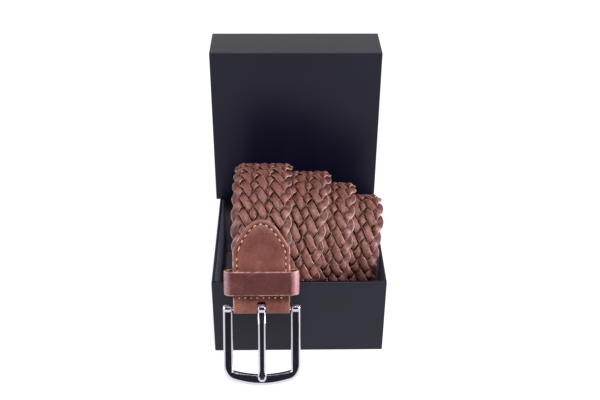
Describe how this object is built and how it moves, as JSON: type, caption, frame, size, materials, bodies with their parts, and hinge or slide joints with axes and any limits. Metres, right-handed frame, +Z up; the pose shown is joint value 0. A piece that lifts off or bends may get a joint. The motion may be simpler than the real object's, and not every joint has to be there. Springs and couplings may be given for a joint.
{
  "type": "braided belt in a gift box",
  "caption": "Woven leather strap rolled into a stepped coil in an open card box, its prong buckle hanging over the front rim, the lift-off lid standing behind it.",
  "frame": {"origin": "middle of the underside of the box", "axes": "+Z up, +X to the right as the buckle is seen, +Y from the buckle's side of the box to the lid"},
  "size_m": [0.1137, 0.1658, 0.1685],
  "materials": {
    "card": "solid greyboard covered in matt dark slate paper",
    "braid_leather": "brown leather strands with a soft sheen and paler cut edges",
    "smooth_leather": "smooth oiled brown leather with a satin gloss",
    "chrome": "polished"
  },
  "bodies": {
    "box_and_strap": {"box_base": "card", "box_lid": "card", "braid_band": "braid_leather", "buckle_tab": "smooth_leather", "end_tab": "smooth_leather", "keeper_loop": "smooth_leather"},
    "frame": {"buckle_frame": "chrome"},
    "tongue": {"prong": "chrome"}
  },
  "joints": [
    {"name": "frame_hinge", "type": "hinge", "parent": "box_and_strap", "child": "frame", "pos_m": [-0.02341, -0.06613, 0.04547], "axis": [-1, 0, 0], "range_deg": [0, 40]},
    {"name": "prong_hinge", "type": "hinge", "parent": "frame", "child": "tongue", "pos_m": [-0.02341, -0.06613, 0.04547], "axis": [-1, 0, 0], "range_deg": [0, 60]}
  ]
}
